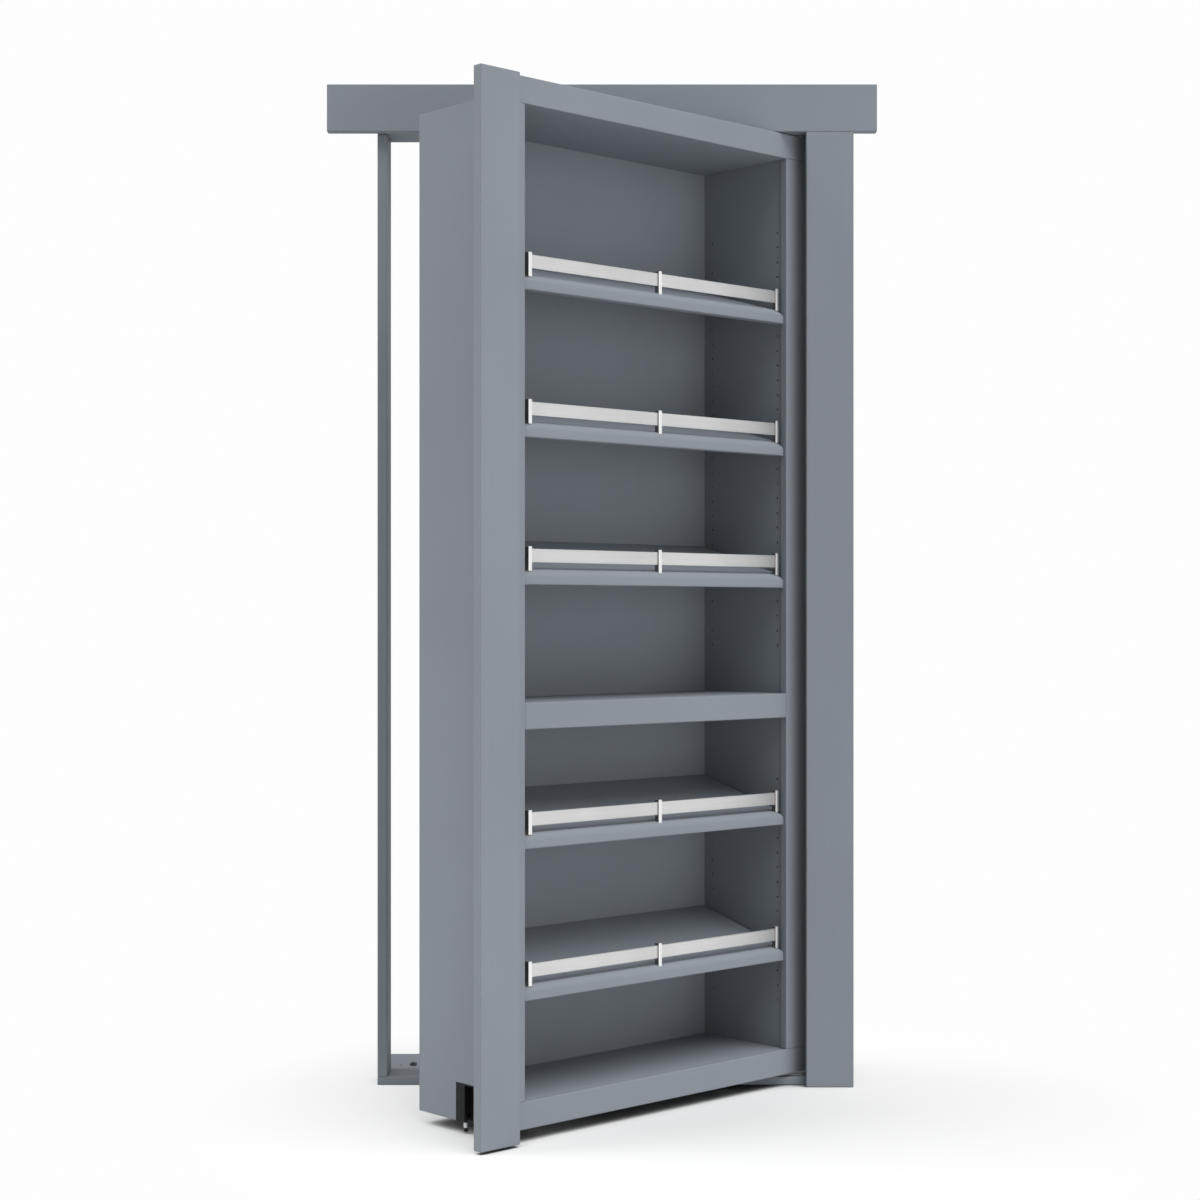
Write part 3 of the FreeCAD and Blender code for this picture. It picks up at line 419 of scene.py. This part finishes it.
def shelfRings(look, nose):
    section, falling, going = shelfSection(look)
    inward = look["fallLength"] * (1 - np.cos(np.linspace(0, math.pi / 2, look["steps"])))
    inward = np.concatenate([inward, inward[::-1]])
    left, right = look["across"]
    across = np.where(np.arange(len(inward)) < look["steps"], left + inward, right - inward)
    fall = endEllipse(inward, look["fallLength"], look["fall"])
    back = endEllipse(inward, look["backLength"], look["back"])
    local = np.empty((len(across), len(section), 3))
    local[..., 0] = across[:, None]
    local[..., 1] = look["front"] + section[:, 0] + back[:, None] * going
    local[..., 2] = nose + section[:, 1] - fall[:, None] * falling
    return fromDoor(local[:, ::-1])


for number, nose in enumerate(shelfLook["noses"], start=1):
    newPiece(f"bull_nosed_shelf_{number}", [ringSurface(shelfRings(shelfLook, nose))], doorLevelPaint,
             "door", f"shoe_shelf_{number}")
print("bull-nosed shelves:", len(shelfLook["noses"]))

# Fence: bars with a rounded section, carried along their length and drawn in at both ends
fenceSizes = {
    "posts": (-0.739, -0.393, -0.047),               # middles across the door
    "postWidth": 0.009, "postDepth": (-0.032, -0.020), "postHeight": (-0.004, 0.043), "postRound": 0.0007,
    "railDepth": (-0.030, -0.026), "railHeight": (0.0125, 0.0385), "railRound": 0.0013,
    "steps": 5,
}


def roundedBar(low, high, radius, steps, axis):
    low, high = np.array(low, dtype=float), np.array(high, dtype=float)
    others = [(axis + 1) % 3, (axis + 2) % 3]
    quarter = np.linspace(0, math.pi / 2, steps)
    turns = np.concatenate([quarter + corner * math.pi / 2 for corner in range(4)])
    side = np.repeat(np.array([[1, 1], [-1, 1], [-1, -1], [1, -1]]), steps, axis=0)
    middle, half = (low + high) / 2, (high - low) / 2
    corner = side * (half[others] - radius) + middle[others]
    outward = np.stack([np.cos(turns), np.sin(turns)], axis=-1)
    inward = radius - radius * np.cos(quarter)
    reach = radius * np.sin(quarter)
    along = np.concatenate([low[axis] + inward, (high[axis] - inward)[::-1]])
    size = np.concatenate([reach, reach[::-1]])
    rings = np.empty((len(along), len(turns), 3))
    rings[..., others] = corner[None] + size[:, None, None] * outward[None]
    rings[..., axis] = along[:, None]
    return rings


def fenceBar(look, kind, left, right, nose, axis):
    (front, back), (bottom, top) = look[kind + "Depth"], look[kind + "Height"]
    rings = roundedBar((left, front, nose + bottom), (right, back, nose + top), look[kind + "Round"],
                       look["steps"], axis)
    return ringSurface(fromDoor(rings))


def buildFence(look, number, nose):
    half, middles = look["postWidth"] / 2, look["posts"]
    rails = [fenceBar(look, "rail", left + half, right - half, nose, 0)
             for left, right in zip(middles[:-1], middles[1:])]
    posts = [fenceBar(look, "post", middle - half, middle + half, nose, 2) for middle in middles]
    newPiece(f"flat_rails_{number}", rails, fenceSteel, "door", f"fence_rails_{number}")
    newPiece(f"square_posts_{number}", posts, postSteel, "door", f"fence_posts_{number}")


for number, nose in enumerate(shelfLook["noses"], start=1):
    buildFence(fenceSizes, number, nose)
print("fences:", len(shelfLook["noses"]))

# Plunger end: profiles of radius and height, turned about the plunger axis
plungerSizes = {
    "axis": (-0.795, 0.093), "around": 48,
    "nut": ((0.0031, 0.0105), (0.0038, 0.0105), (0.0046, 0.0113), (0.0046, 0.0207), (0.0038, 0.0215),
            (0.0031, 0.0215)),
    "tip": ((0.0039, 0.0035), (0.0046, 0.0039), (0.0048, 0.0046), (0.0048, 0.0070), (0.0044, 0.0077),
            (0.0036, 0.0082), (0.0034, 0.0088), (0.0034, 0.0105)),
}


# Points at a radius and an angle about the plunger axis
def roundPlunger(radius, angle, height):
    x = plungerSizes["axis"][0] + radius * np.cos(angle)
    y = plungerSizes["axis"][1] + radius * np.sin(angle)
    return fromDoor(np.stack([x, y, np.broadcast_to(height, x.shape)], axis=-1))


def turnedRings(look, profile):
    radius, height = np.array(profile).T[:, :, None]
    return roundPlunger(radius, np.linspace(0, 2 * math.pi, look["around"], endpoint=False), height)


newPiece("turned_nut", [ringSurface(turnedRings(plungerSizes, plungerSizes["nut"]), joined=True)],
         zincSteel, "plunger", "plunger_nut")
newPiece("flared_tip", [ringSurface(turnedRings(plungerSizes, plungerSizes["tip"]))],
         blackMoulding, "plunger", "plunger_tip")
print("plunger end turned")

# Coil spring: a round wire follows a helix whose first and last turns lie close
springBox = np.array([nodes["latch_spring"].matrix_world @ Vector(corner)
                      for corner in nodes["latch_spring"].bound_box])
coilSizes = {"turns": 10, "wire": 0.0008, "middle": 0.0045, "stepsAround": 12, "stepsPerTurn": 24,
             "closeTurn": 3.05,                      # height after the first turn, in radii of the wire
             "low": float(springBox[:, 2].min()), "high": float(springBox[:, 2].max()),
             "stroke": 0.0145, "sharpFrom": 60.0}


def coilRings(look):
    turn = np.linspace(0, look["turns"], look["turns"] * look["stepsPerTurn"] + 1)
    wire, low, high = look["wire"], look["low"], look["high"]
    close = look["closeTurn"] * wire
    height = np.interp(turn, [0, 1, look["turns"] - 1, look["turns"]],
                       [low + wire, low + close, high - close, high - wire])
    around = np.linspace(0, 2 * math.pi, look["stepsAround"], endpoint=False)
    radius = look["middle"] + wire * np.cos(around)[None, :]
    return roundPlunger(radius, 2 * math.pi * turn[:, None], height[:, None] + wire * np.sin(around)[None, :])


coil = newPiece("coil_spring", [ringSurface(coilRings(coilSizes)[:, ::-1])], zincSteel, "door",
                "latch_spring", coilSizes["sharpFrom"])
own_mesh(coil)

# Floor and light
stageLook = {
    "background": 0.985,                             # near white, for the floor far away and the room behind
    "roomLight": 0.30,                               # what the room itself gives the part
    "floorSize": 14.0, "floorDrop": 0.0004, "floorColour": 0.58, "cameraColour": 0.85, "floorRoughness": 0.8,
    "middle": (0.15, -0.35, 0.0), "clearFrom": 0.15, "clearTo": 1.0,
    "coverReach": 0.1, "coverSamples": 8, "coverBand": (0.16, 0.55), "coveredShade": 0.03, "coverPower": 3.0,
}


# One for rays that show the stage itself, to the camera or in a reflection
def seenRays(tree):
    rays = addNode(tree, "ShaderNodeLightPath")
    seen = arithmetic(tree, "MAXIMUM", rays.outputs["Is Camera Ray"], rays.outputs["Is Glossy Ray"])
    return arithmetic(tree, "MAXIMUM", seen, rays.outputs["Is Transmission Ray"])


def buildFloor(look):
    half, level = look["floorSize"] / 2, -look["floorDrop"]
    mesh = bpy.data.meshes.new("floor")
    mesh.from_pydata([(-half, -half, level), (half, -half, level), (half, half, level), (-half, half, level)], [],
                     [(0, 1, 2, 3)])
    floor = bpy.data.objects.new("floor", mesh)
    scene.collection.objects.link(floor)
    made, tree, shader = newMaterial("paleFloor")
    seen = seenRays(tree)
    shade = span(tree, seen, 0.0, 1.0, look["floorColour"], look["cameraColour"])
    # little light gets under the door, so the floor darkens where it is covered from close above
    cover = addNode(tree, "ShaderNodeAmbientOcclusion", {"Distance": look["coverReach"]},
                    samples=look["coverSamples"])
    bare = span(tree, cover.outputs["AO"], *look["coverBand"], look["coveredShade"], 1.0)
    setInputs(tree, shader, {"Base Color": arithmetic(tree, "MULTIPLY", shade, bare),
                             "Roughness": look["floorRoughness"], "Specular IOR Level": 0.0})
    # far from the object the floor turns into plain white for the camera
    reach = addNode(tree, "ShaderNodeVectorMath", {0: objectPlace(tree), 1: look["middle"]}, operation="DISTANCE")
    far = span(tree, reach.outputs["Value"], look["clearFrom"], look["clearTo"], 0.0, 1.0)
    clear = arithmetic(tree, "MULTIPLY", far, arithmetic(tree, "POWER", bare, look["coverPower"]))
    white = addNode(tree, "ShaderNodeEmission", {"Color": (1, 1, 1, 1), "Strength": look["background"]})
    blend = addNode(tree, "ShaderNodeMixShader", {0: arithmetic(tree, "MULTIPLY", clear, seen),
                                                  1: shader.outputs[0], 2: white.outputs[0]})
    setInputs(tree, tree.nodes["Material Output"], {"Surface": blend.outputs[0]})
    mesh.materials.append(made)
    # the low lamp shines through the floor, as light that a pale floor throws back
    floor.visible_shadow = False


def buildWorld(look):
    world = bpy.data.worlds.new("studio")
    world.use_nodes = True
    scene.world = world
    tree = world.node_tree
    level = span(tree, seenRays(tree), 0.0, 1.0, look["roomLight"], look["background"])
    setInputs(tree, tree.nodes["Background"], {"Color": (1, 1, 1, 1), "Strength": level})


# Soft lamps as broad as a window, in degrees: turn is to the right of the camera's side, and rise is above
# the floor, or below it where it is negative
lampDistance = 6
lamps = {
    "highLamp": {"turn": 40, "rise": 65, "spread": 48, "strength": 2.15},
    "lowLamp": {"turn": 38, "rise": -9, "spread": 50, "strength": 0.86},
    "rightLamp": {"turn": 75, "rise": 28, "spread": 40, "strength": 0.4},
    "leftLamp": {"turn": -86, "rise": 30, "spread": 40, "strength": 1.72},
}


def addLamp(name, look):
    lamp = bpy.data.lights.new(name, "SUN")
    lamp.energy = look["strength"]
    lamp.angle = math.radians(look["spread"])
    made = bpy.data.objects.new(name, lamp)
    scene.collection.objects.link(made)
    turn, rise = math.radians(look["turn"]), math.radians(look["rise"])
    towards = Vector((math.sin(turn) * math.cos(rise), -math.cos(turn) * math.cos(rise), math.sin(rise)))
    made.location = towards * lampDistance
    made.rotation_euler = (-towards).to_track_quat("-Z", "Y").to_euler()
    made.visible_glossy = False


buildFloor(stageLook)
buildWorld(stageLook)
for name, look in lamps.items():
    addLamp(name, look)
print("floor, world and lamps placed")

# Camera at the photograph's place
view = {"place": (-0.00515, -4.7557, 0.9979), "lens": 65.43, "sensor": 36.0, "shift": (0.0004, 0.0126)}
camera = bpy.data.objects.new("camera", bpy.data.cameras.new("camera"))
camera.location = view["place"]
camera.rotation_euler = (math.radians(90), 0, 0)
camera.data.lens = view["lens"]
camera.data.sensor_width = view["sensor"]
camera.data.shift_x, camera.data.shift_y = view["shift"]
scene.collection.objects.link(camera)
scene.camera = camera
scene.view_settings.view_transform = "Standard"
